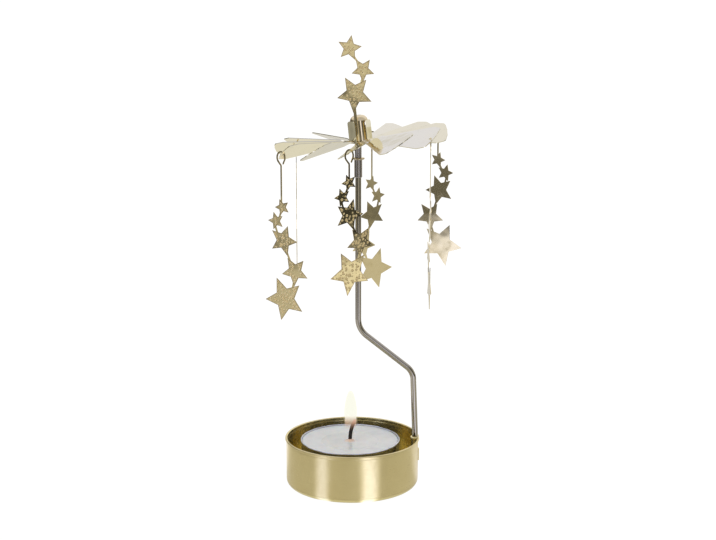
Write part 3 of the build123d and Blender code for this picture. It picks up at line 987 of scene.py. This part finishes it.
# %% Pendants
long_stars = [
    ((0.3, 0.0), 3.2, 15.0), ((-2.4, -5.3), 3.45, 18.5), ((0.65, -12.5), 6.0, -17.0),
    ((5.5, -23.7), 5.8, 3.5), ((1.1, -34.5), 8.55, 11.5),
]
short_stars = [
    ((-0.1, 0.3), 3.2, 15.0), ((-2.85, -4.7), 3.45, 16.5), ((0.0, -11.3), 6.0, -18.0),
    ((4.6, -21.4), 5.8, 0.5), ((0.4, -32.4), 8.55, 8.4),
]
pendant_links = [(0, 3, 1, 1), (1, 3, 2, 0), (2, 3, 3, 0), (3, 3, 4, 1)]
layouts = [(short_stars, 9.9), (long_stars, 18.4)]
pendant_bends = [4.0, 4.0, 0.0, 0.0, 0.0, 0.0]
hook_across, hook_high, hook_strip = 1.65, 2.15, 0.58
hook_tip, hook_neck = 1.2, -0.95


def pendant_seed(layout_stars, shank_drop, bend):
    stars = []
    for (x, y), radius, turn in layout_stars:
        place = (x * cos(bend) + y * sin(bend), y * cos(bend) - x * sin(bend) - shank_drop)
        stars.append((place, radius, turn + degrees(bend)))
    seed = Seed(stars, pendant_links)
    start, end = -acos(hook_tip / hook_across), 2 * pi - acos(hook_neck / hook_across)
    oval = [start + (end - start) * step / 60 for step in range(61)]
    path = [(hook_tip - hook_strip / 2, -2.2)]
    path += [(hook_across * cos(turn), hook_high * sin(turn)) for turn in oval]
    path += [(-0.45, -2.42), (-0.12, -2.72), (0.0, -3.1), (0.0, -6.0), (0.0, stars[0][0][1])]
    seed.strip(*rounded_start(path, hook_strip))
    return seed


star_look = {"finish": etched_finish, "slot": "etched_sheet", "smooth_angle": 25}


def upright_place(middle, across, front):
    """Turns a flat piece so that its x runs across and its face looks to the front."""
    turn = Matrix((across, front.cross(across), front)).transposed().to_4x4()
    return Matrix.Translation(middle) @ turn @ Matrix.Scale(mm, 4)


def pendant_place(number):
    """Upright at its hook. The joint's axis stands square to the sheet, on the patterned side's back."""
    joint = joints[f"pendant_{number}_swing"]
    front = -Vector(joint["axis"]).normalized()
    up = Vector((0.0, 0.0, 1.0))
    drop = (hook_high - hook_across**2 / hook_high) * mm
    return upright_place(Vector(joint["pos_m"]) - up * drop, up.cross(front), front)


for number, bend in enumerate(pendant_bends, 1):
    seed = pendant_seed(*layouts[(number - 1) % 2], radians(bend))
    chain = seed.mesh(f"chain_{number}")
    mesh = grown(f"pendant_mesh_{number}", star_chain, chain, place=pendant_place(number))
    add_piece(f"star_pendant_{number}", mesh, f"hanging_{number}", f"pendant_{number}", **star_look)

# %% [markdown]
# The ornament on top is the same kind of chain without a hook. Its stem goes down between the cap and one
# of the tabs, which holds it, so it leans with the rotor.

# %% Ornament on top
ornament_stars = [((0.7, 10.5), 7.1, 10.3), ((4.9, 19.05), 4.65, 6.0), ((0.65, 27.4), 4.85, -20.2)]
ornament_links = [(1, 3, 0, 1), (2, 3, 1, 0)]
ornament_sheet, stem_width, ornament_height = 0.2, 1.1, -2.2
ornament_seed = Seed(ornament_stars, ornament_links)
ornament_seed.strip([arm_place(ornament_stars[0], 3), (0.0, 0.0), (0.0, -5.2)], [stem_width] * 3)
heading = radians(252.0)
facing = Vector((cos(heading), sin(heading), 0.0))
across = Vector((-sin(heading), cos(heading), 0.0))
stand_off = facing * (cap_radius + snug + ornament_sheet / 2) + Vector((0.0, 0.0, ornament_height))
ornament_place = rotor_place @ upright_place(stand_off * mm, across, facing)
ornament_mesh = grown(
    "ornament_mesh", star_chain, ornament_seed.mesh("ornament_seed"), {"Sheet": ornament_sheet}, ornament_place
)
add_piece("star_ornament", ornament_mesh, "rotor", "top_star_ornament", **star_look)

# %% [markdown]
# ## Floor and light
#
# Bare metal shows what stands round it, so a metal object is lit by its surroundings more than by its
# lamps. The table is a glowing white sheet, as product photographers use, and so is the backdrop: they
# light nothing, they only let the background burn out. The view transform is Standard, because it shows
# their full white as white, as in the photograph, where the default one would make it grey. What the metal
# sees is made apart, as a ring and a tabletop that the camera doesn't see.

# %% Table and backdrop
backdrop_radius = 9000.0
bpy.context.scene.view_settings.view_transform = "Standard"


def glowing_white(name, strength):
    finish = Finish(name)
    color = finish.mix(finish.noise(0.01, 2.0), rgb(0.06, 0.06, 0.06), rgb(0.07, 0.07, 0.07))
    white = rgb(1.0, 1.0, 1.0)
    return finish.set(base_color=color, roughness=0.8, emission_color=white, emission_strength=strength)


def add_stage(name, mesh, finish, seen_by):
    """A piece of the studio, seen only by the kind of ray that is named."""
    piece = new_object(name, mesh)
    mesh.materials.append(finish)
    for kind in ("camera", "diffuse", "glossy", "transmission", "shadow"):
        setattr(piece, "visible_" + kind, kind == seen_by)
    print(name, "is stage, seen by", seen_by, "rays")


table_corners = [(x * backdrop_radius, y * backdrop_radius, 0) for x, y in ((-1, -1), (1, -1), (1, 1), (-1, 1))]
table_mesh = plain_mesh("table", table_corners, [(0, 1, 2, 3)])
add_stage("table", table_mesh, glowing_white("table_white", 0.97), "camera")
dome_profile = [(backdrop_radius, -20.0)] + arc((0.0, 0.0), backdrop_radius, 6, 84, 13)
dome_profile.append((0.0, backdrop_radius))
dome_mesh = turned("backdrop", dome_profile, segments=64)
add_stage("backdrop", dome_mesh, glowing_white("backdrop_white", 1.0), "camera")

# %% [markdown]
# The ring and the tabletop follow the reflections in the photograph. Both have two upright soft lights in
# front, grey between them where the camera stands, and white behind. Low on the ring are darker flags that
# draw the edges of the tin and the rod. Far out, the tabletop has cards at the sides, because the hanging
# stars mirror it. Every tone is a sum of bands of the angle round the object, of height and of distance.


# %% What the metal sees
def studio_glow(name, centre_y=0.0):
    """The place, the angle round the object, 0 at the camera and positive to its right, and its size."""
    finish = Finish(name)
    x, y, z = finish.split(finish.place)
    angle = finish.math("ARCTAN2", x, centre_y - y) * (180 / pi)
    return finish, (x, y, z), angle, finish.math("ABSOLUTE", angle)


def upright_light(finish, angle, centre, half_width, soft):
    """1 in a light that stands at an angle, 0 beside it. Its weaker twin stands behind the object."""
    away = finish.apart(angle, centre)
    start, end = half_width + soft, half_width - soft
    return finish.ease(away, start, end) + finish.band(away, 180.0, start, end) * 0.3


def glow(finish, level, cool):
    """Light of one level, warm from the room and cool from the lamps."""
    color = finish.mix(finish.clamp(cool), rgb(1.0, 0.985, 0.96), rgb(0.94, 0.99, 1.45))
    emission = finish.make("ShaderNodeEmission", inputs={"Color": color, "Strength": level})
    finish.plug(finish.result.inputs["Surface"], emission)
    return finish.material


def room_glow():
    finish, (_, _, z), angle, away = studio_glow("room_in_metal")
    lights = upright_light(finish, angle, 20.0, 7.0, 3.0) + upright_light(finish, angle, -50.0, 6.0, 3.0) * 0.8
    middle = finish.band(angle, 18.0, 28.0, 16.0)
    left_side = finish.band(angle, -61.0, 6.5, 3.5) * finish.ease(z, 31.0, 26.0)
    right_dark = finish.band(angle, 59.5, 6.0, 3.5)
    right_strip = finish.band(angle, 69.0, 6.0, 3.5) * finish.ease(z, 8.0, 22.0)
    flag = 0.13 + finish.ease(away, 95.0, 140.0) * 0.7 + middle * 0.45
    flag = flag + left_side * 0.32 + right_strip * 0.2 - right_dark * 0.09
    wall = 0.12 + finish.band(angle, -36.0, 30.0, 10.0) * 0.56 * finish.ease(z, 80.0, 95.0)
    wall = wall + finish.ease(angle, 60.0, 110.0) * 0.5 + finish.ease(away, 140.0, 165.0) * 0.4 + lights
    ceiling = finish.ease(z, 260.0, 420.0)
    wall = wall * (1.0 - ceiling) + ceiling * (0.56 + finish.ease(away, 80.0, 125.0) * 0.32)
    above_flag = finish.ease(z, 55.0, 75.0)
    return glow(finish, flag * (1.0 - above_flag) + wall * above_flag, ceiling * 0.5 + lights * above_flag)


side_cards = [(66.0, 18.0, 10.0, 0.38), (60.0, 6.0, 3.0, 0.36), (-62.0, 6.5, 4.0, 0.32)]


def tabletop_glow():
    finish, (x, y, _), angle, away = studio_glow("tabletop_in_metal", -14.0)
    reach = finish.length(x, y)
    far = finish.ease(reach, 200.0, 330.0)
    behind = finish.ease(away, 110.0, 150.0)
    near_left = upright_light(finish, angle, -53.0, 9.5, 6.0) * (1.0 - far)
    far_left = upright_light(finish, angle, -49.0, 5.5, 3.5) * far
    right = upright_light(finish, angle, 32.0, 13.0, 8.0)
    level = 0.57 - far * 0.33 + behind * (0.22 + far * 0.2)
    for centre, outer, inner, tone in side_cards:
        level = level + finish.band(angle, centre, outer, inner) * far * tone
    level = level + near_left * 0.6 + far_left * 1.05 + right * (0.95 - far * 0.1)
    edge = finish.ease(reach, 475.0, 515.0)
    return glow(finish, level * (1.0 - edge) + edge * (0.19 + behind * 0.6), near_left + far_left + right)


room_profile = [(560.0, height) for height in (-0.3, 140.0, 280.0, 420.0)]
room_profile += [(430.0, 620.0), (220.0, 720.0), (0.0, 750.0)]
add_stage("room", turned("room_in_metal", room_profile, segments=96), room_glow(), "glossy")
tabletop = turned("tabletop_in_metal", [(0.0, -0.3), (60.0, -0.3), (600.0, -0.3)], segments=96)
add_stage("tabletop", tabletop, tabletop_glow(), "glossy")

# %% [markdown]
# The wax and the foil are lit by a pale world and by two weak soft lamps. The lamps don't show in the metal.


# %% World and key light
def open_light():
    world = bpy.data.worlds.new("pale_room")
    world.use_nodes = True
    tree = Tree(world.node_tree)
    background = next(node for node in world.node_tree.nodes if node.type == "BACKGROUND")
    _, _, z = tree.split(tree.make("ShaderNodeTexCoord", output="Generated"))
    tree.plug(background.inputs["Strength"], 0.5 + 0.3 * tree.ease(z, 0.3, 0.9))
    background.inputs["Color"].default_value = rgb(1.0, 1.0, 1.0)
    bpy.context.scene.world = world


def soft_light(name, place, aim, size, power):
    data = bpy.data.lights.new(name, "AREA")
    data.shape = "DISK"
    data.size = size * mm
    data.energy = power
    light = new_object(name, data)
    light.location = Vector(place) * mm
    light.rotation_euler = (Vector(place) - Vector(aim)).to_track_quat("Z", "Y").to_euler()
    light.visible_glossy = False
    print(name, "light of", power, "watts")


open_light()
soft_light("key", (-420, -380, 620), (0, 0, 80), 320, 0.8)
soft_light("fill", (460, -260, 420), (0, 0, 70), 380, 0.4)
